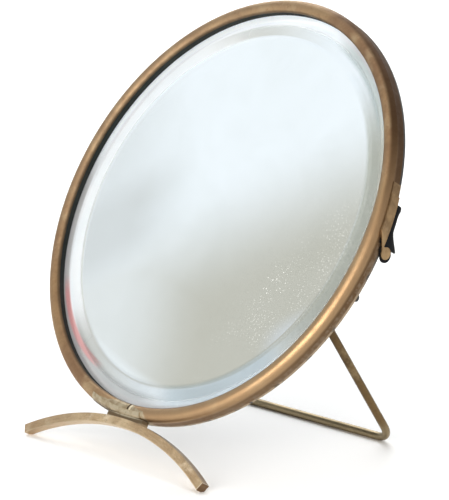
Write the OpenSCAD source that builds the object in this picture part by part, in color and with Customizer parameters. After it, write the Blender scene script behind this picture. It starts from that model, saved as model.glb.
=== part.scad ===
// Round bevelled barber's mirror: brass hoop on a bent bar foot, folding wire stand and hand strap.
// Own frame: +Z up, the glass faces -Y and leans back, origin under the middle of the object.

/* [Hoop] */
// Outside diameter of the brass hoop
rim_d = 238.4; // [220:0.4:260]
// Width of the rounded front bead
rim_w = 7.4; // [7:0.1:8.4]
// Rise of the bead above its own edges
bead_h = 2.4; // [1.8:0.1:3]

/* [Glass] */
// Distance of the glass face behind the lip
glass_set = 3.4; // [3:0.1:3.6]
// Thickness of the glass
glass_t = 2.8; // [2.4:0.1:2.9]
// Width of the bevel that shows inside the lip
bevel_w = 12.4; // [8:0.1:16]
// Fall of the bevel from the flat to the lip
bevel_drop = 0.8; // [0.4:0.1:0.9]
// Height of the back plate's edge that shows behind the hoop
plate_edge = 1.3; // [1:0.1:1.8]

/* [Foot] */
// Side of the square bar
foot_bar = 4.7; // [4:0.1:5.5]
// Radius of the bent bar at its middle
foot_bend = 146.5; // [140:0.5:160]
// Angle of the bend on each side of the middle
foot_half = 29.1; // [26:0.1:30]
// Place of the bar's middle in front of the lip
foot_fwd = -0.2; // [-1:0.1:0.6]

/* [Stand] */
// Diameter of the stand wire
wire_d = 4.3; // [3.6:0.1:4.6]
// Width of the stand between its leg centres
stand_w = 147.8; // [130:0.2:150]
// Length of the legs from hinge to bottom bar
stand_len = 110.3; // [105:0.1:112]
// Bend radius of the two corners
corner_r = 10; // [7:0.5:16]
// Angle of the open stand from the back
stand_open = 64.3; // [58:0.1:68]
// Distance of the hinge below the glass centre
hinge_drop = 29.5; // [26:0.1:32]
// Distance of the hinge behind the back plate
hinge_off = 5.6; // [5.2:0.1:6.5]

/* [Strap] */
// Width of the hand strap
strap_w = 23.4; // [18:0.2:23.6]
// Thickness of the strap
strap_t = 1.1; // [0.8:0.1:1.4]
// Height of the strap's middle above the glass centre
strap_up = 9.2; // [9:0.1:10]
// Bow of the strap behind the back plate
strap_bow = 14; // [10:0.5:18]

/* [Hidden] */
$fn = 96;
fine = 360;
rim_r = rim_d / 2;
lip_r = rim_r - rim_w;
bead_back = 1.2;
bead_chord = norm([rim_w, bead_back]);
bead_r = (bead_chord * bead_chord / 4 + bead_h * bead_h) / (2 * bead_h);
bead_tilt = atan2(bead_back, rim_w);
bead_c = [
    (lip_r + rim_r) / 2 - (bead_r - bead_h) * sin(bead_tilt),
    -bead_back / 2 - (bead_r - bead_h) * cos(bead_tilt)
];
bead_clip = 0.5;
hoop_wall = 1.4;
hoop_in = rim_r - hoop_wall;
lip_wall = 1.5;
lip_flat = 0.9;
bead_under = 3.6;
seam_gap = 0.5;

glass_r = hoop_in - 0.3;
flat_r = lip_r - bevel_w;
bevel_k = bevel_drop / bevel_w;
glass_back = glass_set + glass_t;
silver_t = 0.1;
card_t = 0.5;
packing_w = 1.6;
plate_t = 0.8;
plate_back = glass_back + silver_t + card_t + plate_t;
rim_depth = plate_back - plate_edge;
tack_arc = 2.6;
tack_h = 0.35;
tack_over = 1;
tack_at = [105, 130, 155, 200, 230, 255];

solder_t = 0.35;
foot_gap = 1;
foot_top = rim_r + foot_gap;
foot_c = -foot_top - foot_bend - foot_bar / 2;
foot_in = foot_bend - foot_bar / 2;
foot_out = foot_bend + foot_bar / 2;
foot_low = foot_c + foot_in * cos(foot_half);
foot_rear = foot_fwd - foot_bar / 2;
foot_flat = 0.8;
solder_half = 14;
solder_front = 1;
solder_back = 3.4;
patch_from = -105;
patch_arc = 20;

wire_r = wire_d / 2;
hinge_y = -hinge_drop;
hinge_z = -plate_back - hinge_off;
rod_r = 2;
eye_fit = 0.06;
eye_r = 4.4;
eye_t = 3;
tail_len = 11.5;
tail_t = 3.4;
tail_gap = 0.15;
pad_near = 6;
pad_w = 5;
collar_r = 3.5;
collar_len = 3;
collar_gap = 0.3;
collar_at = eye_t / 2 + collar_gap + collar_len / 2;
leg_from = collar_r + collar_gap;
bracket_x = rim_r - 16;
bracket_t = 2.4;
bracket_r = 4.2;
bracket_base = 13;
bracket_wide = 12;
bracket_foot = 1.2;
rod_past = 6;
rod_half = bracket_x + rod_past;
rivet_in = 8.5;
rivet_apart = 3.4;
rivet_r = 1.1;
rivet_head = 1.9;
rivet_rise = 0.8;

strap_low = strap_up - strap_w / 2;
strap_ease = 0.05;
strap_thin = 0.6;
strap_turn = 4.5;
strap_wrap = 7.9;
strap_top = 7.1;
strap_front = 3.6;
strap_step = 0.25;
strap_lining = 0.1;
strap_side = rim_r + strap_ease + strap_t - strap_turn + strap_step;
strap_start = strap_wrap + strap_turn - strap_t;
strap_end = plate_back + strap_bow;
strap_sag = strap_end - strap_start;
strap_arc = (strap_side * strap_side + strap_sag * strap_sag) / (2 * strap_sag);
keeper_t = 0.6;
keeper_in = rim_r + strap_ease + strap_thin;
keeper_front = 1.4;
keeper_back = 6.9;
keeper_top = 28;
keeper_gap = 0.5;
lug_y = -5.9;
lug_back = 9.9;
lug_r = 3.1;
neck_side = 2.4;
lug_neck = 3;
tongue_r = 3.7;
tongue_off = 0.8;
tongue_in = 2.8;
tongue_out = 5;
tongue_front = 5.9;

bar_y = hinge_y - stand_len * cos(stand_open);
bar_z = hinge_z - stand_len * sin(stand_open);
rest_span = [bar_y - foot_low, bar_z - foot_rear];
lean = atan2(rest_span.y, rest_span.x) + acos((wire_r + foot_flat) / norm(rest_span));
table_z = bar_y * cos(lean) + bar_z * sin(lean) - wire_r;
front_y = foot_low * sin(lean) - (foot_fwd + foot_bar / 2) * cos(lean);
back_y = rim_r * sin(lean) + plate_back * cos(lean);
mid_y = (front_y + back_y) / 2;

// from the mirror's own frame (x right, y up the glass, z out of its face) to the standing frame
module stand_up() {
    translate([0, -mid_y, -table_z]) rotate([90 - lean, 0, 0]) children();
}

module sector(from, arc) {
    rotate([0, 0, from]) rotate_extrude(angle = arc) children();
}

module disc(r, front, back) {
    translate([0, 0, -back]) cylinder(r = r, h = back - front);
}

function bevel_at(r) = glass_set + (r - flat_r) * bevel_k;

module closed_hoop() {
    union() {
        rotate_extrude() intersection() {
            translate(bead_c) circle(r = bead_r);
            polygon([
                [lip_r, -bead_clip],
                [rim_r, -bead_back - bead_clip],
                [rim_r, 2 * bead_h],
                [lip_r, 2 * bead_h]
            ]);
        }
        rotate_extrude() polygon([
            [lip_r, -bead_clip / 2],
            [rim_r, -bead_back - bead_clip / 2],
            [rim_r, -rim_depth],
            [hoop_in, -rim_depth],
            [hoop_in, -bead_under],
            [lip_r + lip_wall, -bead_under],
            [lip_r + lip_wall, -lip_flat],
            [lip_r, -lip_flat]
        ]);
    }
}

module rim_hoop() {
    color("goldenrod") stand_up() difference() {
        closed_hoop();
        translate([-seam_gap / 2, -rim_r - 1, -rim_depth - 1])
            cube([seam_gap, rim_w + 2, rim_depth + 2 * bead_h]);
    }
}

// the solder that closes the hoop's seam, spreads over the bead and beds the foot
module foot_solder() {
    color("silver") stand_up() difference() {
        union() {
            sector(patch_from, patch_arc, $fn = fine) polygon([
                [bead_c.x, bead_c.y + bead_r - 1],
                [bead_c.x, bead_c.y + bead_r + 0.3],
                [bead_c.x + 2, bead_c.y + bead_r - 0.1],
                [rim_r - 1, 1],
                [rim_r + solder_t, -bead_back],
                [rim_r + solder_t, -solder_back],
                [rim_r - 1, -solder_back]
            ]);
            translate([-solder_half, -foot_top - 3, -solder_back + 0.2])
                cube([2 * solder_half, 5, solder_front + solder_back]);
        }
        closed_hoop($fn = fine);
        translate([0, foot_c, -rim_depth]) cylinder(r = foot_out, h = 2 * rim_depth, $fn = fine);
    }
}

module front_foot() {
    color("darkgoldenrod") intersection() {
        stand_up() translate([0, foot_c, 0]) sector(90 - foot_half, 2 * foot_half)
            translate([foot_in, foot_rear]) square(foot_bar);
        translate([-rim_r, -rim_r, 0]) cube(rim_d);
    }
}

module edge_packing() {
    inner = lip_r + 0.1;
    color("black") stand_up() rotate_extrude() polygon([
        [inner, -lip_flat],
        [lip_r + lip_wall, -lip_flat],
        [lip_r + lip_wall, -bead_under],
        [lip_r + lip_wall + packing_w, -bead_under],
        [lip_r + lip_wall + packing_w, -bevel_at(lip_r + lip_wall + packing_w)],
        [inner, -bevel_at(inner)]
    ]);
}

module mirror_glass() {
    color("lightcyan", 0.35) stand_up() rotate_extrude() polygon([
        [0, -glass_set],
        [flat_r, -glass_set],
        [glass_r, -bevel_at(glass_r)],
        [glass_r, -glass_back],
        [0, -glass_back]
    ]);
}

module silvering() {
    color("gainsboro") stand_up() disc(glass_r, glass_back, glass_back + silver_t);
}

module backing_card() {
    color("peru") stand_up() disc(glass_r, glass_back + silver_t, glass_back + silver_t + card_t);
}

module rivet_places(side) {
    for (up = [-1, 1])
        translate([side * (bracket_x - rivet_in), hinge_y + up * rivet_apart, -plate_back])
            children();
}

// a shallow pan: its floor lies behind the card and its edge shows behind the hoop
module back_plate() {
    color("dimgray") stand_up() difference() {
        disc(rim_r, rim_depth, plate_back);
        disc(hoop_in, rim_depth - 1, plate_back - plate_t);
        for (side = [-1, 1])
            rivet_places(side) cylinder(r = rivet_r, h = 4 * plate_t, center = true);
    }
}

module plate_tacks() {
    color("silver") stand_up() for (at = tack_at) sector(at - tack_arc / 2, tack_arc) polygon([
        [rim_r, -rim_depth + tack_over],
        [rim_r + tack_h, -rim_depth + tack_over / 2],
        [rim_r + tack_h, -plate_back + tack_over / 2],
        [rim_r, -plate_back + tack_h / 2]
    ]);
}

module bracket(side) {
    color("darkgoldenrod") stand_up() difference() {
        translate([side * bracket_x, hinge_y, 0]) {
            translate([-bracket_t / 2, 0, hinge_z]) rotate([0, 90, 0])
                cylinder(r = bracket_r, h = bracket_t);
            translate([-bracket_t / 2, -bracket_r, hinge_z])
                cube([bracket_t, 2 * bracket_r, hinge_off]);
            translate([
                side > 0 ? bracket_t / 2 - bracket_base : -bracket_t / 2,
                -bracket_wide / 2,
                -plate_back - bracket_foot
            ])
                cube([bracket_base, bracket_wide, bracket_foot]);
        }
        translate([side * bracket_x, hinge_y, hinge_z]) rotate([0, 90, 0])
            cylinder(r = rod_r + eye_fit / 2, h = 4 * bracket_t, center = true);
        rivet_places(side) cylinder(r = rivet_r, h = 4 * bracket_foot, center = true);
    }
}

module bracket_left() {
    bracket(-1);
}

module bracket_right() {
    bracket(1);
}

module bracket_rivets() {
    color("goldenrod") stand_up() for (side = [-1, 1]) rivet_places(side) {
        translate([0, 0, -bracket_foot]) cylinder(r = rivet_r, h = bracket_foot + plate_t);
        translate([0, 0, -bracket_foot - rivet_rise])
            cylinder(r1 = rivet_head - 0.6, r2 = rivet_head, h = rivet_rise);
    }
}

module along_rod(x, length, r) {
    translate([x - length / 2, hinge_y, hinge_z]) rotate([0, 90, 0]) cylinder(r = r, h = length);
}

module hinge_rod() {
    color("darkgoldenrod") stand_up() along_rod(0, 2 * rod_half, rod_r);
}

module rod_collars() {
    color("goldenrod") stand_up() for (leg = [-1, 1], side = [-1, 1]) difference() {
        along_rod(leg * stand_w / 2 + side * collar_at, collar_len, collar_r);
        along_rod(0, stand_w * 2, rod_r);
    }
}

// blocks on the back plate that the stand's tails bear on when it is open
module stop_pads() {
    pad_h = hinge_off - tail_t / 2 - tail_gap;
    color("goldenrod") stand_up() for (leg = [-1, 1])
        translate([leg * stand_w / 2 - pad_w / 2, hinge_y + pad_near, -plate_back - pad_h])
            cube([pad_w, tail_len - pad_near + 1, pad_h]);
}

module stand_bail() {
    color("darkkhaki") stand_up() translate([0, hinge_y, hinge_z]) rotate([stand_open, 0, 0]) {
        for (side = [-1, 1]) difference() {
            union() {
                translate([side * stand_w / 2, 0, 0]) {
                    rotate([90, 0, 0]) translate([0, 0, leg_from])
                        cylinder(r = wire_r, h = stand_len - corner_r - leg_from);
                    translate([-eye_t / 2, 0, 0]) rotate([0, 90, 0]) cylinder(r = eye_r, h = eye_t);
                    rotate([-stand_open, 0, 0]) translate([-eye_t / 2, 0, -tail_t / 2])
                        cube([eye_t, tail_len, tail_t]);
                }
                translate([side * (stand_w / 2 - corner_r), corner_r - stand_len, 0])
                    sector(side > 0 ? -90 : 180, 90) translate([corner_r, 0]) circle(r = wire_r);
            }
            rotate([0, 90, 0]) cylinder(r = rod_r + eye_fit, h = 2 * stand_w, center = true);
        }
        translate([0, -stand_len, 0]) rotate([0, 90, 0])
            cylinder(r = wire_r, h = stand_w - 2 * corner_r, center = true);
    }
}

module side_ring(inner, outer) {
    difference() {
        cylinder(r = outer, h = rim_d, center = true);
        cylinder(r = inner, h = 2 * rim_d, center = true);
    }
}

// the part of a side ring inside a shape drawn in (height, depth)
module ring_part(inner, outer) {
    intersection() {
        side_ring(inner, outer);
        rotate([90, 0, 90]) linear_extrude(rim_d) children();
    }
}

// strip soldered along the hoop's side wall, with the strap's thinned end gripped under it
// and a rounded lug at its lower end
module keeper() {
    pocket_top = strap_up + strap_w / 2 + keeper_gap;
    difference() {
        union() {
            ring_part(rim_r, keeper_in + keeper_t) polygon([
                [keeper_top, -keeper_front],
                [keeper_top, -keeper_back],
                [lug_y + neck_side, -keeper_back],
                [lug_y + neck_side, -lug_back],
                [lug_y - neck_side / 2, -lug_back + neck_side],
                [lug_neck, -keeper_front]
            ]);
            ring_part(rim_r, keeper_in + keeper_t) translate([lug_y, -lug_back]) circle(r = lug_r);
        }
        intersection() {
            cylinder(r = keeper_in, h = 2 * rim_d, center = true);
            translate([0, pocket_top - rim_d, -rim_r - strap_front + keeper_gap / 2])
                cube([rim_d, rim_d, rim_r]);
        }
        intersection() {
            side_ring(rim_r + keeper_t, 2 * rim_r);
            translate([0, pocket_top + keeper_t, -rim_r]) cube(rim_d);
        }
    }
}

module keeper_right() {
    color("goldenrod") stand_up() keeper();
}

module keeper_left() {
    color("goldenrod") stand_up() mirror([1, 0, 0]) keeper();
}

module strap_section() {
    intersection() {
        translate([0, strap_arc - strap_end]) difference() {
            circle(r = strap_arc + strap_t + strap_lining, $fn = 2 * fine);
            circle(r = strap_arc - strap_lining, $fn = 2 * fine);
        }
        translate([-strap_side, -strap_end - 2 * strap_t])
            square([2 * strap_side, strap_bow + strap_t]);
    }
    for (side = [0, 1]) mirror([side, 0, 0]) {
        translate([strap_side, -strap_wrap]) difference() {
            circle(r = strap_turn);
            circle(r = strap_turn - strap_t);
            translate([-2 * strap_turn, -2 * strap_turn]) square([2 * strap_turn, 4 * strap_turn]);
            translate([-strap_turn, 0]) square(2 * strap_turn);
        }
        translate([strap_side + strap_turn - strap_t, -strap_wrap])
            square([strap_t, strap_wrap - strap_top]);
    }
}

// the thinned end under the keeper, with a tongue that shows below the keeper's lug
module strap_grip() {
    grip_in = rim_r + strap_ease;
    grip_out = grip_in + strap_thin;
    union() {
        ring_part(grip_in, grip_out) polygon([
            [strap_low + strap_w, -strap_front],
            [strap_low + strap_w, -strap_top + strap_ease],
            [-tongue_in, -strap_top + strap_ease],
            [-tongue_in, -lug_back],
            [-tongue_out, -lug_back],
            [-tongue_out, -tongue_front],
            [strap_low, -tongue_front],
            [strap_low, -strap_front]
        ]);
        ring_part(grip_in, grip_out)
            translate([lug_y - tongue_off, -lug_back - tongue_off]) circle(r = tongue_r);
    }
}

module hand_strap() {
    color("saddlebrown") stand_up() {
        translate([0, strap_up + strap_w / 2, 0]) rotate([90, 0, 0])
            linear_extrude(strap_w) strap_section();
        for (side = [0, 1]) mirror([side, 0, 0]) strap_grip();
    }
}

rim_hoop();
foot_solder();
front_foot();
edge_packing();
mirror_glass();
silvering();
backing_card();
back_plate();
plate_tacks();
bracket_left();
bracket_right();
bracket_rivets();
hinge_rod();
rod_collars();
stop_pads();
stand_bail();
keeper_left();
keeper_right();
hand_strap();
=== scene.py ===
import bpy
import bmesh
import math
import random
from mathutils import Matrix, Vector


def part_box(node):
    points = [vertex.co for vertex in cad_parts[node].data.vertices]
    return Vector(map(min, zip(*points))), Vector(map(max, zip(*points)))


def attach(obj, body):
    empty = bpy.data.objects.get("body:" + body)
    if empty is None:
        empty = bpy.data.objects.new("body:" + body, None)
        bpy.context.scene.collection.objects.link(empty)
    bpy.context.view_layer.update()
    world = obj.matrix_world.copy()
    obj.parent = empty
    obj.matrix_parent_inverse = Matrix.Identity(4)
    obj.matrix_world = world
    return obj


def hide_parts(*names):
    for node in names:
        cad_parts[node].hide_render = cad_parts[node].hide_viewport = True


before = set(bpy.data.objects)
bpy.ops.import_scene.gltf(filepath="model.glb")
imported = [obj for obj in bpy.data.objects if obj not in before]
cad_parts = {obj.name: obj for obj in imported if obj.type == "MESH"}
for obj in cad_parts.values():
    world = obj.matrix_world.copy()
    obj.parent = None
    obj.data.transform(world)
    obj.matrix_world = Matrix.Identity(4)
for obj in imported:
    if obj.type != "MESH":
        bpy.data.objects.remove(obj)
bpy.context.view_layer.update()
MM = 0.001
random.seed(7)

# ---------------------------------------------------------------- the mirror's own frame
# x right, y up the glass, z out of its face, zero at the lip; all from the silvering's box
SILVER_DEPTH = 6.25 * MM
low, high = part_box("silvering")
size = high - low
LEAN = math.atan2(size.y, size.z)
UP = Vector((0, math.sin(LEAN), math.cos(LEAN)))
OUT = Vector((0, -math.cos(LEAN), math.sin(LEAN)))
CENTRE = (low + high) / 2 + OUT * SILVER_DEPTH
TO_ROW = Matrix((
    (1, UP.x, OUT.x, CENTRE.x),
    (0, UP.y, OUT.y, CENTRE.y),
    (0, UP.z, OUT.z, CENTRE.z),
    (0, 0, 0, 1),
))

RIM_R = 119.2 * MM
FLAT_R = 99.4 * MM
GLASS_R = 117.5 * MM
GLASS_FRONT = -3.4 * MM
GLASS_BACK = -6.17 * MM
BEVEL_FALL = 0.8 / 12.4
# the foot's arc: its centre below the mirror's, its inner radius and half its angle
FOOT_DROP = 269.05 * MM
FOOT_IN = 144.15 * MM
FOOT_HALF = math.radians(29.1)

# directions round the hoop, in radians from its right side
JOINT = -math.pi / 2
LOWER_RIGHT = -0.75

# ---------------------------------------------------------------- camera
CAMERA_PLACE = (0.78936, -0.68923, 0.29769)
CAMERA_AZIMUTH, CAMERA_ELEVATION, CAMERA_ROLL = 48.371, 10.609, -0.275
CAMERA_LENS = 146.99
CAMERA_SENSOR = 36


def make_camera():
    data = bpy.data.cameras.new("camera")
    data.lens = CAMERA_LENS
    data.sensor_width = CAMERA_SENSOR
    data.clip_start, data.clip_end = 0.05, 60
    cam = bpy.data.objects.new("camera", data)
    bpy.context.scene.collection.objects.link(cam)
    turn = Matrix.Rotation(math.radians(CAMERA_AZIMUTH), 4, "Z")
    tip = Matrix.Rotation(math.radians(90 - CAMERA_ELEVATION), 4, "X")
    spin = Matrix.Rotation(math.radians(CAMERA_ROLL), 4, "Z")
    cam.matrix_world = Matrix.Translation(CAMERA_PLACE) @ turn @ tip @ spin
    bpy.context.scene.camera = cam


# ---------------------------------------------------------------- shader helpers
class Graph:
    """A few short calls for building a material's node tree."""

    def __init__(self, name):
        self.mat = bpy.data.materials.new(name)
        self.mat.use_nodes = True
        self.tree = self.mat.node_tree
        self.bsdf = self.tree.nodes["Principled BSDF"]
        self.out = self.tree.nodes["Material Output"]

    def node(self, kind, **inputs):
        n = self.tree.nodes.new(kind)
        for key, value in inputs.items():
            self.put(n.inputs[key.replace("_", " ")], value)
        return n

    def put(self, socket, value):
        if isinstance(value, bpy.types.NodeSocket):
            self.tree.links.new(value, socket)
        elif socket.type == "RGBA":
            socket.default_value = (*value, 1)
        else:
            socket.default_value = value

    def set(self, **inputs):
        """Sets or links inputs of the main shader, with _ for the spaces in their names."""
        for key, value in inputs.items():
            self.put(self.bsdf.inputs[key.replace("_", " ")], value)

    def base(self):
        """The colour that is linked to the main shader so far."""
        return self.bsdf.inputs["Base Color"].links[0].from_socket

    def coords(self):
        return self.node("ShaderNodeTexCoord").outputs["Object"]

    def mirror_coords(self):
        """Object coordinates turned into the mirror's own frame."""
        inverse = TO_ROW.inverted()
        n = self.node("ShaderNodeMapping", Vector=self.coords())
        n.inputs["Location"].default_value = inverse.translation
        n.inputs["Rotation"].default_value = inverse.to_euler()
        return n.outputs["Vector"]

    def split(self, vector):
        n = self.node("ShaderNodeSeparateXYZ", Vector=vector)
        return n.outputs["X"], n.outputs["Y"], n.outputs["Z"]

    def join(self, x, y, z):
        return self.node("ShaderNodeCombineXYZ", X=x, Y=y, Z=z).outputs[0]

    def math(self, op, a, b=0.0):
        n = self.tree.nodes.new("ShaderNodeMath")
        n.operation = op
        self.put(n.inputs[0], a)
        self.put(n.inputs[1], b)
        return n.outputs[0]

    def plus(self, a, b):
        return self.math("ADD", a, b)

    def minus(self, a, b):
        return self.math("SUBTRACT", a, b)

    def times(self, first, *others):
        for other in others:
            first = self.math("MULTIPLY", first, other)
        return first

    def distance(self, a, b):
        """How far apart two values are."""
        return self.math("ABSOLUTE", self.minus(a, b))

    def length(self, x, y):
        return self.math("SQRT", self.plus(self.times(x, x), self.times(y, y)))

    def noise(self, vector, scale, detail=4.0, rough=0.55, distort=0.0):
        n = self.node("ShaderNodeTexNoise", Vector=vector, Scale=scale, Detail=detail,
                      Roughness=rough, Distortion=distort)
        return n.outputs["Fac"]

    def cells(self, vector, scale, flat=False):
        """Distance to the nearest of a scatter of points, in the plane of x and y if flat."""
        n = self.tree.nodes.new("ShaderNodeTexVoronoi")
        n.voronoi_dimensions = "2D" if flat else "3D"
        self.put(n.inputs["Vector"], vector)
        self.put(n.inputs["Scale"], scale)
        return n.outputs["Distance"]

    def ramp(self, value, low, high, start=0.0, end=1.0):
        """value from low..high mapped smoothly to start..end."""
        n = self.node("ShaderNodeMapRange", Value=value, From_Min=low, From_Max=high,
                      To_Min=start, To_Max=end)
        n.interpolation_type = "SMOOTHSTEP"
        return n.outputs["Result"]

    def towards(self, angle, middle, low, high, end=1.0):
        """end in a direction round the hoop, fading to 0 between the cosines high and low."""
        return self.ramp(self.math("COSINE", self.minus(angle, middle)), low, high, 0.0, end)

    def mix(self, fac, a, b, blend="MIX"):
        n = self.tree.nodes.new("ShaderNodeMix")
        n.data_type = "RGBA"
        n.blend_type = blend
        self.put(n.inputs["Factor"], fac)
        self.put(n.inputs["A"], a)
        self.put(n.inputs["B"], b)
        return n.outputs["Result"]

    def bump(self, height, distance, strength=1.0, normal=None):
        n = self.node("ShaderNodeBump", Height=height, Distance=distance, Strength=strength)
        if normal is not None:
            self.put(n.inputs["Normal"], normal)
        return n.outputs["Normal"]


def ring_coords(g):
    """Angle round the hoop, radius and depth, in the mirror's frame."""
    x, y, z = g.split(g.mirror_coords())
    return g.math("ARCTAN2", y, x), g.length(x, y), z


# ---------------------------------------------------------------- brass
def brass(name, base, dark, pale, rough):
    """Aged brass: mottled tarnish, pale rubbed places, fine scratches and small dents."""
    g = Graph(name)
    p = g.coords()
    blotch = g.noise(p, 38, 6, 0.6, 0.4)
    fine = g.noise(p, 420, 4, 0.65)
    tone = g.mix(g.ramp(blotch, 0.36, 0.62), base, dark)
    tone = g.mix(g.ramp(g.noise(p, 75, 5, 0.6), 0.52, 0.72, 0, 0.75), tone, pale)
    tone = g.mix(g.ramp(fine, 0.56, 0.75, 0, 0.5), tone, dark)
    spots = g.times(g.ramp(g.cells(p, 210), 0.05, 0.16, 0.55, 0), g.ramp(g.noise(p, 60, 3), 0.5, 0.62))
    tone = g.mix(spots, tone, tuple(channel * 0.45 for channel in dark))
    worn = g.ramp(blotch, 0.3, 0.7, rough - 0.05, rough + 0.1)
    scratches = g.bump(g.noise(p, 900, 3, 0.7), 0.04 * MM, 0.5)
    dents = g.bump(g.noise(p, 160, 5, 0.6), 0.12 * MM, 0.5, scratches)
    waves = g.bump(g.noise(p, 24, 3, 0.5), 0.9 * MM, 0.35, dents)
    g.set(Base_Color=tone, Metallic=1.0, Normal=waves,
          Roughness=g.plus(worn, g.ramp(fine, 0.3, 0.7, -0.05, 0.08)))
    return g


def hoop_material():
    """The hoop's brass: tarnish and draw lines, painted light (a highlight at the lower right, a sheen at the
    upper left, and shade in the crease behind the bead, on the side wall, at the inner edge and on the right
    side), and the joint's solder.
    """
    g = Graph("aged_hoop_brass")
    p = g.coords()
    angle, radius, depth = ring_coords(g)
    blotch = g.noise(p, 30, 6, 0.6, 0.5)
    fine = g.noise(p, 380, 4, 0.65)
    streaks = g.noise(g.join(g.times(angle, 0.012), radius, depth), 1500, 4, 0.7)
    # painted highlight: a warmer, brighter tone at the lower right, strongest towards the bead's front, where
    # the brass is also made smoother
    painted_highlight = g.times(g.towards(angle, LOWER_RIGHT, 0.25, 0.85, 0.7),
                   g.ramp(depth, -3.0 * MM, -1.0 * MM, 0.25, 1.0))
    tone = hoop_tarnish_and_sheen(g, p, angle, blotch, fine, streaks)
    tone = hoop_shades(g, tone, angle, radius, depth)
    tone = g.mix(painted_highlight, tone, (0.42, 0.275, 0.15))
    speckle = g.times(g.ramp(g.noise(p, 330, 5, 0.7), 0.38, 0.60),
                      g.ramp(depth, -4.2 * MM, -3.0 * MM, 1, 0), g.towards(angle, -0.5, 0.7, 0.9, 0.6))
    tone = g.mix(speckle, tone, (0.25, 0.19, 0.135))
    tone = hoop_joint(g, p, tone, angle, radius)
    # painted shade at the lip's inner edge, next to the glass
    inner_edge_shade = g.ramp(radius, 111.9 * MM, 112.8 * MM, 0.7, 0)
    tone = g.mix(inner_edge_shade, tone, (0.10, 0.07, 0.045))
    worn = g.plus(g.ramp(blotch, 0.3, 0.7, 0.52, 0.62), g.ramp(fine, 0.3, 0.7, -0.04, 0.08))
    lines = g.bump(streaks, 0.03 * MM, 0.6)
    dents = g.bump(g.noise(p, 150, 5, 0.6), 0.1 * MM, 0.5, lines)
    waves = g.bump(g.noise(p, 20, 3, 0.5), 1.0 * MM, 0.3, dents)
    g.set(Base_Color=tone, Metallic=1.0, Normal=waves, Roughness=g.minus(worn, g.times(painted_highlight, 0.24)))
    return g.mat


def hoop_tarnish_and_sheen(g, p, angle, blotch, fine, streaks):
    """Brown blotches, pale rubbed places and draw lines, with a painted sheen that makes the upper left
    greyer and paler.
    """
    warm, brown, pale = (0.36, 0.235, 0.125), (0.255, 0.155, 0.088), (0.50, 0.385, 0.235)
    tone = g.mix(g.ramp(blotch, 0.38, 0.64), warm, brown)
    tone = g.mix(g.ramp(g.noise(p, 64, 5, 0.6), 0.5, 0.7, 0, 0.6), tone, pale)
    # painted sheen: a greyer, paler tone towards the upper left
    upper_left_sheen = g.ramp(g.minus(g.math("SINE", angle), g.math("COSINE", angle)), 0.1, 1.4, 0, 0.4)
    tone = g.mix(upper_left_sheen, tone, (0.37, 0.285, 0.185))
    tone = g.mix(g.ramp(fine, 0.55, 0.75, 0, 0.45), tone, brown)
    return g.mix(g.ramp(streaks, 0.55, 0.8, 0, 0.35), tone, (0.16, 0.10, 0.06))


def hoop_shades(g, tone, angle, radius, depth):
    """Painted shade: in the crease behind the bead, over the side wall, and on the right side."""
    # painted shade in the crease where the bead meets the side wall
    crease_shade = g.times(g.ramp(depth, -3.4 * MM, -1.8 * MM), g.ramp(depth, -1.6 * MM, -0.4 * MM, 1, 0),
                   g.ramp(radius, 118.4 * MM, 119.1 * MM), 0.45)
    tone = g.mix(crease_shade, tone, (0.12, 0.075, 0.04))
    # painted shade: the side wall darker than the bead, all round
    wall = g.ramp(depth, -3.0 * MM, -0.8 * MM, 0.8, 0)
    tone = g.mix(wall, tone, (0.130, 0.072, 0.034))
    # painted shade on the right side, over the bead's outer part and the side wall
    right = g.times(g.ramp(radius, 116.0 * MM, 118.0 * MM), g.towards(angle, 0.35, 0.2, 0.85, 0.95))
    return g.mix(right, tone, (0.072, 0.038, 0.018))


SOLDER_PALE, SOLDER_DULL = (0.50, 0.42, 0.29), (0.34, 0.26, 0.16)


def hoop_joint(g, p, tone, angle, radius):
    """Pale solder wiped over the joint above the foot, with the joint's dark line and a bright scratch."""
    ragged = g.times(g.minus(g.noise(p, 150, 4, 0.6), 0.5), 0.16)
    off = g.distance(g.plus(angle, ragged), JOINT - 0.0442)
    reach = g.ramp(radius, 112.5 * MM, 116.5 * MM, 0.085, 0.185)
    wiped = g.ramp(g.math("DIVIDE", off, reach), 0.85, 1.0, 0.88, 0)
    solder = g.mix(g.ramp(g.noise(p, 260, 4, 0.6), 0.4, 0.62), SOLDER_PALE, SOLDER_DULL)
    tone = g.mix(wiped, tone, solder)
    tone = g.mix(g.ramp(g.distance(angle, JOINT), 0.004, 0.008, 0.8, 0), tone, (0.10, 0.065, 0.04))
    scratch = g.ramp(g.distance(angle, JOINT + 0.0138), 0.004, 0.009, 0.9, 0)
    return g.mix(scratch, tone, (0.80, 0.68, 0.48))


def solder_material():
    """Lumpy tin solder, which takes the foot's tone below the hoop, with painted shade where the two meet."""
    g = Graph("tin_solder")
    p = g.coords()
    radius = ring_coords(g)[1]
    lumps = g.noise(p, 190, 4, 0.6, 0.6)
    tone = g.mix(g.ramp(lumps, 0.4, 0.65), SOLDER_PALE, SOLDER_DULL)
    tone = g.mix(g.ramp(g.noise(p, 600, 3), 0.55, 0.75, 0, 0.5), tone, (0.24, 0.17, 0.10))
    tone = g.mix(g.ramp(radius, 118.8 * MM, 119.8 * MM, 0, 0.85), tone, (0.40, 0.285, 0.165))
    # painted shade in the gap where the hoop meets the foot
    crease_shade = g.times(g.ramp(radius, 118.6 * MM, 119.2 * MM), g.ramp(radius, 120.4 * MM, 121.5 * MM, 0.8, 0))
    tone = g.mix(crease_shade, tone, (0.10, 0.065, 0.035))
    grain = g.bump(g.noise(p, 900, 3), 0.05 * MM, 0.5)
    g.set(Base_Color=tone, Metallic=1.0, Roughness=g.ramp(lumps, 0.3, 0.7, 0.35, 0.55),
          Normal=g.bump(lumps, 0.5 * MM, 0.8, grain))
    return g.mat


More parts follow.
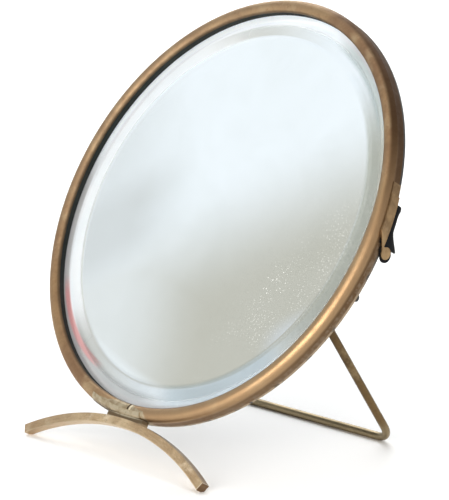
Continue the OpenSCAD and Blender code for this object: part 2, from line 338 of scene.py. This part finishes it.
def foot_marks_and_light(g):
    """Marks on the foot: draw lines and pits, a dark right end with a bright line by it, painted shade on the
    back edge and over the left part, and a painted highlight along the front edge.
    """
    x, y, z = g.split(g.mirror_coords())
    y = g.plus(y, FOOT_DROP)
    radius = g.length(x, y)
    angle = g.math("ARCTAN2", x, y)
    lines = g.noise(g.join(g.times(angle, 0.02), radius, z), 1700, 5, 0.7)
    tone = g.mix(g.ramp(lines, 0.50, 0.68, 0, 0.5), g.base(), (0.29, 0.20, 0.115))
    tone = g.mix(g.ramp(lines, 0.30, 0.44, 0.45, 0), tone, (0.74, 0.63, 0.46))
    pits = g.ramp(g.noise(g.coords(), 900, 3, 0.7), 0.56, 0.68, 0, 0.45)
    tone = g.mix(pits, tone, (0.20, 0.13, 0.075))
    # painted shade along the back edge
    back_edge = g.ramp(g.plus(radius, g.times(z, -0.25)), FOOT_IN + 3.7 * MM, FOOT_IN + 4.9 * MM, 0, 0.8)
    tone = g.mix(back_edge, tone, (0.16, 0.105, 0.06))
    # painted highlight along the front edge
    front_edge = g.ramp(radius, FOOT_IN + 0.2 * MM, FOOT_IN + 0.7 * MM, 0.55, 0)
    tone = g.mix(front_edge, tone, (0.80, 0.66, 0.47))
    end = g.ramp(angle, FOOT_HALF - 0.0030, FOOT_HALF - 0.0012, 0, 0.85)
    tone = g.mix(end, tone, (0.15, 0.085, 0.045))
    end_line = g.times(g.ramp(angle, FOOT_HALF - 0.0062, FOOT_HALF - 0.0045),
                       g.ramp(angle, FOOT_HALF - 0.0038, FOOT_HALF - 0.0028, 0.8, 0))
    tone = g.mix(end_line, tone, (0.90, 0.80, 0.62))
    # painted shade over the foot's left part
    left = g.ramp(x, -55 * MM, -15 * MM, 0.4, 0)
    g.set(Base_Color=g.mix(left, tone, (0.33, 0.225, 0.135)))


def bar_painted_light(g):
    """The stand's low bar is painted paler than its legs, as painted light on it."""
    height = g.split(g.coords())[2]
    # painted light: paler towards the bottom of the stand
    g.set(Base_Color=g.mix(g.ramp(height, 6 * MM, 16 * MM, 0.6, 0), g.base(), (0.38, 0.31, 0.19)))


def black_ends(g):
    """Black paint that ran over the ends of the hinge rod."""
    x = g.split(g.mirror_coords())[0]
    end = g.ramp(g.math("ABSOLUTE", x), 104.6 * MM, 105.6 * MM)
    g.set(Base_Color=g.mix(end, g.base(), (0.012, 0.011, 0.010)), Metallic=g.minus(1.0, end))


# ---------------------------------------------------------------- packing, card, paint and leather
def packing_material():
    g = Graph("black_packing")
    fibre = g.noise(g.coords(), 1500, 4, 0.7)
    tone = g.mix(fibre, (0.006, 0.009, 0.008), (0.03, 0.036, 0.033))
    g.set(Base_Color=tone, Roughness=0.75, Specular_IOR_Level=0.3, Normal=g.bump(fibre, 0.1 * MM, 0.7))
    return g.mat


def card_material():
    g = Graph("backing_card")
    fibre = g.noise(g.coords(), 700, 5, 0.7)
    tone = g.mix(fibre, (0.20, 0.14, 0.08), (0.34, 0.26, 0.16))
    g.set(Base_Color=tone, Roughness=0.9, Normal=g.bump(fibre, 0.1 * MM, 0.5))
    return g.mat


def black_paint_material():
    """Black japan: flowed on, chipped and scratched, and rubbed off the pan's edge at the lower right."""
    g = Graph("black_japan")
    p = g.coords()
    angle, radius = ring_coords(g)[:2]
    flow = g.noise(p, 45, 5, 0.6)
    chips = g.ramp(g.plus(g.noise(p, 130, 6, 0.7), g.times(g.noise(p, 9, 2), 0.45)), 0.86, 0.9)
    tone = g.mix(g.ramp(flow, 0.35, 0.7), (0.008, 0.008, 0.008), (0.021, 0.019, 0.017))
    tone = g.mix(chips, tone, (0.10, 0.062, 0.038))
    rubbed = g.times(g.ramp(radius, 117.2 * MM, 118.4 * MM), g.towards(angle, -0.95, 0.60, 0.80),
                     g.ramp(g.noise(p, 260, 5, 0.65), 0.34, 0.46))
    bare = g.mix(g.noise(p, 500, 3), (0.17, 0.115, 0.065), (0.40, 0.31, 0.20))
    x, y, z = g.split(p)
    scratches = g.noise(g.join(g.times(x, 30), g.times(y, 900), g.times(z, 900)), 1.0, 3, 0.6)
    normal = g.bump(scratches, 0.03 * MM, 0.5)
    normal = g.bump(chips, 0.12 * MM, -0.8, normal)
    g.set(Base_Color=g.mix(rubbed, tone, bare), Metallic=0.0,
          Roughness=g.plus(g.ramp(flow, 0.3, 0.7, 0.28, 0.45), g.times(chips, 0.35)),
          Normal=g.bump(flow, 0.4 * MM, 0.35, normal))
    return g.mat


def leather_material():
    g = Graph("black_leather")
    p = g.coords()
    pores = g.cells(p, 1300)
    crease = g.noise(p, 95, 6, 0.65, 0.8)
    worn = g.ramp(g.noise(p, 60, 5, 0.6), 0.52, 0.72)
    tone = g.mix(worn, (0.0035, 0.0035, 0.0045), (0.016, 0.015, 0.016))
    tone = g.mix(g.ramp(pores, 0.2, 0.6, 0.5, 0), tone, (0.004, 0.004, 0.005))
    g.set(Base_Color=tone, Specular_IOR_Level=0.1, Roughness=g.ramp(crease, 0.3, 0.7, 0.5, 0.7),
          Normal=g.bump(crease, 0.6 * MM, 0.5, g.bump(pores, 0.12 * MM, 0.6)))
    return g.mat


def thread_material():
    g = Graph("waxed_thread")
    twist = g.noise(g.coords(), 2600, 2)
    tone = g.mix(twist, (0.05, 0.045, 0.04), (0.13, 0.115, 0.095))
    g.set(Base_Color=tone, Roughness=0.6, Normal=g.bump(twist, 0.08 * MM, 0.6))
    return g.mat


# ---------------------------------------------------------------- silver and glass
def silver_material():
    """Aged silvering: clear in the middle, tinted under the bevel with painted reflections, and clouded in a
    ring under the lip, where its colours are painted reflections and it glows as painted light.
    """
    g = Graph("aged_silvering")
    p = g.mirror_coords()
    angle, radius = ring_coords(g)[:2]
    haze = g.noise(p, 18, 6, 0.6, 0.4)
    tint = bevel_tint(g, angle, radius)
    red_reflection = red_lens(g, angle, radius)
    tone = g.mix(g.ramp(haze, 0.35, 0.7), (0.985, 0.99, 0.99), (0.945, 0.952, 0.945))
    tone = g.mix(g.ramp(radius, 96.8 * MM, 99.2 * MM, 0, 0.95), tone, tint)
    # painted reflection of something red, across the bevel at the lower left
    tone = g.mix(g.times(red_reflection, 0.8), tone, (0.68, 0.27, 0.27))
    spots = g.times(g.ramp(g.cells(p, 160), 0.03, 0.07, 1, 0), g.ramp(g.noise(p, 28, 4, 0.6), 0.57, 0.7))
    tone = g.mix(spots, tone, (0.62, 0.60, 0.55))

    # a pale film in place of the mirror, close to the lip and over the bevel's left side: partly the clouding
    # of old silver, partly painted light, for its colours are painted reflections and it glows
    left = g.times(g.towards(angle, 2.98, 0.25, 0.75), g.ramp(radius, 98.5 * MM, 100.4 * MM))
    cloud_and_glow = g.math("MAXIMUM", g.ramp(radius, 105.0 * MM, 107.2 * MM), left)
    inner = g.mix(1.0, tint, (0.71, 0.74, 0.77), "MULTIPLY")
    # painted reflection: the film pale and bluish towards the upper left, grey elsewhere
    rim = g.mix(g.towards(angle, 2.10, 0.45, 0.75), (0.42, 0.42, 0.425), (0.80, 0.85, 0.89))
    film = g.mix(g.ramp(radius, 107.8 * MM, 109.8 * MM), inner, rim)
    film = g.mix(g.times(red_reflection, 0.85), film, (0.56, 0.24, 0.24))
    g.set(Base_Color=g.mix(cloud_and_glow, tone, film), Metallic=g.minus(1.0, g.times(cloud_and_glow, 0.92)),
          Roughness=g.ramp(haze, 0.45, 0.75, 0.0, 0.04),
          Emission_Color=film, Emission_Strength=g.times(cloud_and_glow, 0.5))
    return g.mat


def bevel_tint(g, angle, radius):
    """The bevel's reflections as tints of its silver, by their direction round the glass."""
    outer = g.ramp(radius, 102.5 * MM, 106.0 * MM)
    streaks = g.noise(g.join(g.times(angle, 0.05), g.times(radius, 0.6), 0.0), 26, 2, 0.5, 1.2)
    tint = g.mix(g.ramp(streaks, 0.40, 0.62), (0.95, 0.965, 0.975), (1.0, 1.0, 1.0))
    right = g.towards(angle, 0.0, 0.60, 0.97)
    tint = g.mix(right, tint, (0.50, 0.485, 0.40))
    lower_right = g.towards(angle, -1.08, 0.90, 0.97, 0.95)
    tint = g.mix(lower_right, tint, (0.63, 0.69, 0.72))
    lower_left = g.times(g.towards(angle, -1.90, 0.86, 0.97), g.plus(g.times(outer, 0.6), 0.3))
    tint = g.mix(lower_left, tint, (0.46, 0.46, 0.45))
    upper_right = g.times(g.towards(angle, 0.85, 0.93, 0.99), outer, 0.8)
    return g.mix(upper_right, tint, (0.44, 0.49, 0.46))


def red_lens(g, angle, radius):
    """1 inside a thin lens that leans across the bevel at the lower left, where it reflects something red."""
    turn = g.plus(angle, 2.269)
    middle = g.minus(108.4 * MM, g.plus(g.times(turn, 8.6 * MM), g.times(turn, turn, 11.5 * MM)))
    across = g.ramp(g.distance(radius, middle), 1.0 * MM, 2.5 * MM, 1, 0)
    return g.times(g.towards(angle, -2.30, 0.935, 0.98), across)


def glass_material():
    """Clear old glass with a faint wave and a green edge, and dust on its face whose specks glow a little, as
    painted light.
    """
    g = Graph("old_mirror_glass")
    p = g.mirror_coords()
    g.set(Base_Color=(0.995, 0.998, 0.998), Roughness=0.0, IOR=1.52, Transmission_Weight=1.0,
          Normal=g.bump(g.noise(p, 9, 2, 0.4), 0.2 * MM, 0.06))
    specks = g.node("ShaderNodeBsdfDiffuse", Color=(0.92, 0.93, 0.91), Roughness=1.0)
    # painted light: the dust specks glow a little
    dust_glow = g.node("ShaderNodeEmission", Color=(0.97, 0.98, 1.0), Strength=0.5)
    dust = g.tree.nodes.new("ShaderNodeAddShader")
    g.put(dust.inputs[0], specks.outputs[0])
    g.put(dust.inputs[1], dust_glow.outputs[0])
    surface = g.tree.nodes.new("ShaderNodeMixShader")
    g.put(surface.inputs[0], dust_cover(g, p))
    g.put(surface.inputs[1], g.bsdf.outputs[0])
    g.put(surface.inputs[2], dust.outputs[0])
    g.put(g.out.inputs["Surface"], surface.outputs[0])
    absorb = g.node("ShaderNodeVolumeAbsorption", Color=(0.78, 0.93, 0.88), Density=5.0)
    g.put(g.out.inputs["Volume"], absorb.outputs[0])
    return g.mat


LARGE_DUST = (62 * MM, -33 * MM, GLASS_FRONT)


def dust_cover(g, p):
    """How much dust covers the face: fine specks at the lower right, and large ones in one place."""
    x, y, z = g.split(p)
    across = g.minus(g.times(x, 0.83), g.times(y, 0.56))
    place = g.times(g.ramp(across, 52 * MM, 72 * MM), g.ramp(across, 85 * MM, 120 * MM, 1.0, 0.4))
    thick = g.times(g.ramp(g.noise(p, 60, 5, 0.6), 0.35, 0.65), g.plus(place, 0.06))
    near = g.node("ShaderNodeVectorMath", Vector=p)
    near.operation = "DISTANCE"
    near.inputs[1].default_value = LARGE_DUST
    patch = g.ramp(near.outputs["Value"], 4 * MM, 17 * MM, 1.0, 0.0)
    fine = g.math("LESS_THAN", g.cells(p, 430, True), g.times(thick, 0.15))
    reach = g.plus(g.times(patch, 0.065), g.times(thick, 0.013))
    large = g.math("LESS_THAN", g.cells(p, 210, True), reach)
    cover = g.math("MAXIMUM", g.times(fine, 0.15), g.times(large, 0.38))
    front_face = g.math("GREATER_THAN", z, -5 * MM)
    return g.times(cover, front_face)


# ---------------------------------------------------------------- mesh helpers
def finish_mesh(name, bm, material, sharp):
    """An object from a bmesh, smooth but for edges sharper than so many degrees."""
    bmesh.ops.recalc_face_normals(bm, faces=bm.faces)
    mesh = bpy.data.meshes.new(name)
    bm.to_mesh(mesh)
    bm.free()
    for face in mesh.polygons:
        face.use_smooth = True
    mesh.set_sharp_from_angle(angle=math.radians(sharp))
    mesh.materials.append(material)
    obj = bpy.data.objects.new(name, mesh)
    bpy.context.scene.collection.objects.link(obj)
    return obj


def lathe(profile, steps=288):
    """A profile of (radius, depth) points turned round the mirror's axis, from axis to axis."""
    bm = bmesh.new()
    rings = []
    for radius, z in profile:
        count = steps if radius else 1
        ring = []
        for i in range(count):
            a = 2 * math.pi * i / count
            ring.append(bm.verts.new(TO_ROW @ Vector((radius * math.cos(a), radius * math.sin(a), z))))
        rings.append(ring)
    for a, b in zip(rings, rings[1:]):
        for i in range(steps):
            j = (i + 1) % steps
            corners = [a[i % len(a)], a[j % len(a)], b[j % len(b)], b[i % len(b)]]
            bm.faces.new(list(dict.fromkeys(corners)))
    return bm


# ---------------------------------------------------------------- glass
def bevel_depth(radius):
    return GLASS_FRONT - (radius - FLAT_R) * BEVEL_FALL


def make_glass():
    soft = 0.35 * MM
    chamfer = 0.2 * MM
    back_chamfer = 0.22 * MM
    profile = [(radius, GLASS_FRONT) for radius in (0, 40 * MM, 80 * MM, FLAT_R - soft)]
    profile += [(radius, bevel_depth(radius)) for radius in (FLAT_R + soft, 110 * MM, GLASS_R - chamfer)]
    profile += [
        (GLASS_R, bevel_depth(GLASS_R) - chamfer), (GLASS_R, GLASS_BACK + back_chamfer),
        (GLASS_R - chamfer, GLASS_BACK), (0, GLASS_BACK),
    ]
    glass = finish_mesh("bevelled_glass", lathe(profile), glass_material(), 1.6)
    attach(glass, "mirror")
    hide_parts("mirror_glass")


# ---------------------------------------------------------------- strap
GRIP_STEPS, TURN_STEPS, BACK_STEPS = 9, 16, 60
STRAP_STEPS = GRIP_STEPS + TURN_STEPS + BACK_STEPS
STRAP_ACROSS = 24
GRIP_START, GRIP_END = -3.8 * MM, -7.0 * MM
TURN_R = 5.0 * MM
STRAP_SAG = 20.9 * MM
THIN, THICK = 0.56 * MM, 1.16 * MM


def smooth_step(x, low, high):
    t = min(max((x - low) / (high - low), 0.0), 1.0)
    return t * t * (3 - 2 * t)


def strap_low(u):
    """Lower edge of the strap, from its gripped end (0) to the middle of the back (1)."""
    return -2.5 * MM - 1.2 * MM * smooth_step(u, 0.03, 0.09) + 2.6 * MM * smooth_step(u, 0.09, 0.45)


def strap_high(u):
    """Its upper edge, in the same way."""
    return 20.9 * MM - 2.6 * MM * smooth_step(u, 0.04, 0.12)


def strap_point(k, v):
    """Middle of the strap's thickness at step k of its right half, v from -1 (low edge) to 1."""
    u = k / STRAP_STEPS
    y = strap_low(u) + (strap_high(u) - strap_low(u)) * (v + 1) / 2
    side_x = math.sqrt(RIM_R ** 2 - y * y) + 0.36 * MM
    if k <= GRIP_STEPS:
        return Vector((side_x, y, GRIP_START + (GRIP_END - GRIP_START) * k / GRIP_STEPS))
    flare = 8.6 * MM * max(0.0, (5.5 * MM - y) / (8.7 * MM)) ** 1.25
    bulge = 1.5 * MM * math.exp(-((y - 17.5 * MM) / (2.6 * MM)) ** 2)
    reach = TURN_R + flare + bulge
    swell = 0.45 * MM
    if k <= GRIP_STEPS + TURN_STEPS:
        a = (k - GRIP_STEPS) / TURN_STEPS * math.pi / 2
        x = side_x + swell * math.sin(min(a * 2.2, math.pi / 2)) - TURN_R * (1 - math.cos(a))
        return Vector((x, y, GRIP_END - reach * math.sin(a)))
    inward = (k - GRIP_STEPS - TURN_STEPS) / BACK_STEPS
    x = (side_x + swell - TURN_R) * (1 - inward)
    turned = GRIP_END - reach
    return Vector((x, y, turned - (STRAP_SAG + turned) * (1 - (1 - inward) ** 2)))


def strap_thick(k):
    return THIN + (THICK - THIN) * smooth_step(k, GRIP_STEPS - 1, GRIP_STEPS + 5)


def strap_frame(k, v, side):
    """Place and outward normal of the strap's surface on one side of the mirror."""
    step = 0.04
    here = strap_point(k, v)
    along = strap_point(min(k + 1, STRAP_STEPS), v) - strap_point(max(k - 1, 0), v)
    over = strap_point(k, min(v + step, 1)) - strap_point(k, max(v - step, -1))
    normal = over.cross(along).normalized()
    if k >= STRAP_STEPS:
        normal = Vector((0, normal.y, normal.z)).normalized()
    flip = Vector((side, 1, 1))
    return here * flip, normal * flip


def strap_row(bm, k):
    """The strap's points across its width at step k from its right end, on its inner and outer faces."""
    side = 1 if k <= STRAP_STEPS else -1
    step = k if side > 0 else 2 * STRAP_STEPS - k
    loose = 0.22 * MM * smooth_step(step, GRIP_STEPS, GRIP_STEPS + 14)
    rows = ([], [])
    for j in range(STRAP_ACROSS + 1):
        v = -1 + 2 * j / STRAP_ACROSS
        place, normal = strap_frame(step, v, side)
        wave = loose * math.sin(k * 0.37 + v * 1.7) * math.sin(k * 0.13)
        half = strap_thick(step) / 2 * (1 - 0.35 * abs(v) ** 10)
        rows[0].append(bm.verts.new(TO_ROW @ (place + normal * (wave + half))))
        rows[1].append(bm.verts.new(TO_ROW @ (place + normal * (wave - half))))
    return rows


def make_strap():
    """The hand strap: gripped at both sides, turned behind the hoop and bowed across the back."""
    bm = bmesh.new()
    total = 2 * STRAP_STEPS
    front, back = zip(*[strap_row(bm, k) for k in range(total + 1)])
    for k in range(total):
        for j in range(STRAP_ACROSS):
            bm.faces.new((front[k][j], front[k][j + 1], front[k + 1][j + 1], front[k + 1][j]))
            bm.faces.new((back[k][j], back[k + 1][j], back[k + 1][j + 1], back[k][j + 1]))
        for j in (0, STRAP_ACROSS):
            bm.faces.new((front[k][j], front[k + 1][j], back[k + 1][j], back[k][j]))
    for k in (0, total):
        for j in range(STRAP_ACROSS):
            bm.faces.new((front[k][j], back[k][j], back[k][j + 1], front[k][j + 1]))
    for side in (1, -1):
        strap_tongue(bm, side)
    strap = finish_mesh("leather_hand_strap", bm, leather_material(), 50)
    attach(strap, "mirror")
    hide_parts("hand_strap")


TONGUE_Y, TONGUE_Z = -6.7 * MM, -10.7 * MM
TONGUE_R = 3.7 * MM
TONGUE_GAP = 0.06 * MM
TONGUE_THICK = 0.6 * MM
NECK = 2.2 * MM
NECK_WAY = 1.05
TONGUE_RINGS, TONGUE_STEPS = 3, 40


def strap_tongue(bm, side):
    """The rounded end of the thinned leather that shows round the keeper's lug, on the hoop's side wall."""
    def on_wall(y, z, lift):
        x = math.sqrt((RIM_R + lift) ** 2 - y * y)
        return bm.verts.new(TO_ROW @ Vector((side * x, y, z)))

    edges = []
    for lift in (TONGUE_GAP, TONGUE_GAP + TONGUE_THICK):
        rings = []
        for ring in range(1, TONGUE_RINGS + 1):
            row = []
            for i in range(TONGUE_STEPS):
                a = 2 * math.pi * i / TONGUE_STEPS
                neck = NECK * max(0.0, math.cos(a - NECK_WAY)) ** 6
                reach = (TONGUE_R + neck) * ring / TONGUE_RINGS
                row.append(on_wall(TONGUE_Y + reach * math.cos(a), TONGUE_Z + reach * math.sin(a), lift))
            rings.append(row)
        middle = on_wall(TONGUE_Y, TONGUE_Z, lift)
        for i in range(TONGUE_STEPS):
            j = (i + 1) % TONGUE_STEPS
            bm.faces.new((middle, rings[0][i], rings[0][j]))
            for a, b in zip(rings, rings[1:]):
                bm.faces.new((a[i], b[i], b[j], a[j]))
        edges.append(rings[-1])
    under, over = edges
    for i in range(TONGUE_STEPS):
        j = (i + 1) % TONGUE_STEPS
        bm.faces.new((under[i], over[i], over[j], under[j]))


STITCH_LIFT = 0.16 * MM
STITCH_R = 0.22 * MM
STITCH_SIDES = 6


def make_stitches():
    """A line of waxed stitches just inside each long edge of the strap's back."""
    bm = bmesh.new()
    for side in (1, -1):
        for v in (-0.8, 0.8):
            for k in range(GRIP_STEPS + TURN_STEPS + 4, STRAP_STEPS):
                start, normal = strap_frame(k, v, side)
                run = strap_frame(k + 1, v, side)[0] - start
                out = normal if normal.z < 0 else -normal
                base = start + out * (strap_thick(k) / 2 + STITCH_LIFT)
                stitch(bm, base + run * 0.12, base + run * (0.74 + random.uniform(-0.05, 0.05)), out)
    threads = finish_mesh("strap_stitches", bm, thread_material(), 60)
    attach(threads, "mirror")


def stitch(bm, start, end, out):
    """One stitch: a short round thread that dips at both ends."""
    along = (end - start).normalized()
    across = along.cross(out).normalized()
    rings = []
    for t, swell in ((0.0, 0.35), (0.2, 0.9), (0.5, 1.0), (0.8, 0.9), (1.0, 0.35)):
        centre = start.lerp(end, t) - out * (STITCH_LIFT * (2 * t - 1) ** 4)
        ring = []
        for i in range(STITCH_SIDES):
            a = 2 * math.pi * i / STITCH_SIDES
            spoke = (across * math.cos(a) + out * math.sin(a)) * (STITCH_R * swell)
            ring.append(bm.verts.new(TO_ROW @ (centre + spoke)))
        rings.append(ring)
    for a, b in zip(rings, rings[1:]):
        for i in range(STITCH_SIDES):
            j = (i + 1) % STITCH_SIDES
            bm.faces.new((a[i], a[j], b[j], b[i]))
    bm.faces.new(rings[0])
    bm.faces.new(rings[-1][::-1])


# ---------------------------------------------------------------- looks of the CAD nodes
EDGE_WIDTHS = {
    "front_foot": 0.35, "bracket_left": 0.25, "bracket_right": 0.25, "stop_pads": 0.3,
    "keeper_left": 0.15, "keeper_right": 0.15, "rod_collars": 0.3, "bracket_rivets": 0.3,
    "hinge_rod": 0.3,
}


def dress_cad():
    """Gives every CAD node that stays its worked material, and breaks its sharp edges."""
    stand = brass("patinated_stand_brass", (0.165, 0.105, 0.048), (0.095, 0.060, 0.030),
                  (0.29, 0.215, 0.12), 0.40)
    back = brass("back_brass", (0.33, 0.235, 0.12), (0.19, 0.125, 0.066), (0.46, 0.36, 0.20), 0.34)
    foot = brass("scratched_foot_brass", (0.66, 0.495, 0.305), (0.43, 0.30, 0.175),
                 (0.84, 0.71, 0.52), 0.42)
    keeper = brass("rubbed_keeper_brass", (0.36, 0.24, 0.125), (0.16, 0.100, 0.052),
                   (0.50, 0.38, 0.235), 0.38)
    foot_marks_and_light(foot)
    bar_painted_light(stand)
    black_ends(back)
    solder = solder_material()
    looks = {
        "rim_hoop": hoop_material(), "foot_solder": solder, "plate_tacks": solder,
        "front_foot": foot.mat, "edge_packing": packing_material(), "silvering": silver_material(),
        "backing_card": card_material(), "back_plate": black_paint_material(),
        "bracket_left": back.mat, "bracket_right": back.mat, "bracket_rivets": back.mat,
        "hinge_rod": back.mat, "rod_collars": back.mat, "stop_pads": back.mat,
        "stand_bail": stand.mat, "keeper_left": keeper.mat, "keeper_right": keeper.mat,
    }
    for name, material in looks.items():
        for material_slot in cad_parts[name].material_slots:
            material_slot.material = material
    for name, width in EDGE_WIDTHS.items():
        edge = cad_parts[name].modifiers.new("soft_edge", "BEVEL")
        edge.width = width * MM
        edge.segments = 2
        edge.limit_method = "ANGLE"
        edge.angle_limit = math.radians(40)


# ---------------------------------------------------------------- stage
FLOOR_HALF = 8.0


def make_floor():
    mesh = bpy.data.meshes.new("floor")
    corners = [(x * FLOOR_HALF, y * FLOOR_HALF, 0) for x, y in ((-1, -1), (1, -1), (1, 1), (-1, 1))]
    mesh.from_pydata(corners, [], [(0, 1, 2, 3)])
    floor = bpy.data.objects.new("floor", mesh)
    bpy.context.scene.collection.objects.link(floor)
    g = Graph("pale_floor")
    g.set(Base_Color=(0.97, 0.97, 0.965), Roughness=0.6, Specular_IOR_Level=0.2)
    mesh.materials.append(g.mat)


def softbox(name, place, aim, width, height, power, colour):
    data = bpy.data.lights.new(name, "AREA")
    data.shape = "RECTANGLE"
    data.size, data.size_y = width, height
    data.energy = power
    data.color = colour
    lamp = bpy.data.objects.new(name, data)
    lamp.location = place
    lamp.rotation_mode = "QUATERNION"
    lamp.rotation_quaternion = (Vector(aim) - Vector(place)).to_track_quat("-Z", "Y")
    bpy.context.scene.collection.objects.link(lamp)


def make_world():
    """A pale room. What the flat glass reflects is on its left: a bright window over a beige wall."""
    world = bpy.data.worlds.new("studio")
    bpy.context.scene.world = world
    world.use_nodes = True
    nodes, links = world.node_tree.nodes, world.node_tree.links

    def smooth(value, low, high, start=0.0, end=1.0):
        n = nodes.new("ShaderNodeMapRange")
        n.interpolation_type = "SMOOTHSTEP"
        links.new(value, n.inputs["Value"])
        for key, number in (("From Min", low), ("From Max", high), ("To Min", start), ("To Max", end)):
            n.inputs[key].default_value = number
        return n.outputs["Result"]

    def brightest(a, b):
        n = nodes.new("ShaderNodeMath")
        n.operation = "MAXIMUM"
        links.new(a, n.inputs[0])
        links.new(b, n.inputs[1])
        return n.outputs[0]

    def blend(fac, a, b):
        n = nodes.new("ShaderNodeMix")
        n.data_type = "RGBA"
        for key, value in (("Factor", fac), ("A", a), ("B", b)):
            if isinstance(value, tuple):
                n.inputs[key].default_value = (*value, 1)
            else:
                links.new(value, n.inputs[key])
        return n.outputs["Result"]

    direction = nodes.new("ShaderNodeSeparateXYZ")
    links.new(nodes.new("ShaderNodeTexCoord").outputs["Generated"], direction.inputs[0])
    x, y, z = direction.outputs
    beige, window, grey = (0.565, 0.565, 0.505), (0.92, 0.985, 1.03), (0.66, 0.70, 0.71)
    lit = brightest(smooth(y, -0.514, -0.462), smooth(z, 0.395, 0.409, 0.85, 0.0))
    lit = brightest(lit, smooth(x, -0.766, -0.734, 0.64, 0.0))
    wall = blend(lit, beige, window)
    # grey at the window's left edge, more of it in its lower part
    strong = blend(smooth(x, -0.768, -0.746, 0.85, 0.0), wall, grey)
    weak = blend(smooth(x, -0.782, -0.748, 0.55, 0.0), wall, grey)
    wall = blend(smooth(y, -0.486, -0.468), wall, blend(smooth(y, -0.458, -0.442), strong, weak))
    # a bluish corner at the wall's lower right
    corner = blend(smooth(y, -0.537, -0.528, 1.0, 0.0), wall, (0.66, 0.70, 0.73))
    wall = blend(smooth(x, -0.718, -0.708), wall, corner)
    room = blend(smooth(z, 0.60, 0.95), (1.0, 0.99, 0.975), (0.38, 0.37, 0.35))
    sky = blend(smooth(x, -0.62, -0.30, 1.0, 0.0), room, wall)
    links.new(sky, nodes["Background"].inputs["Color"])
    nodes["Background"].inputs["Strength"].default_value = 1.0


def make_stage():
    make_floor()
    softbox("front_softbox", (0.5, -2.15, 0.60), (0, 0, 0.12), 2.0, 1.1, 37, (1.0, 0.945, 0.88))
    softbox("top_softbox", (-0.8, 0.9, 2.5), (0, 0, 0.1), 2.0, 2.0, 26, (0.97, 0.98, 1.0))
    # lights the floor far behind the mirror, so that the picture's ground is white to its top
    softbox("far_softbox", (-3.0, 2.6, 2.6), (-3.0, 2.6, 0), 3.2, 3.2, 95, (1.0, 1.0, 1.0))
    make_world()
    bpy.context.scene.view_settings.view_transform = "Standard"


make_camera()
make_stage()
dress_cad()
make_glass()
make_strap()
make_stitches()
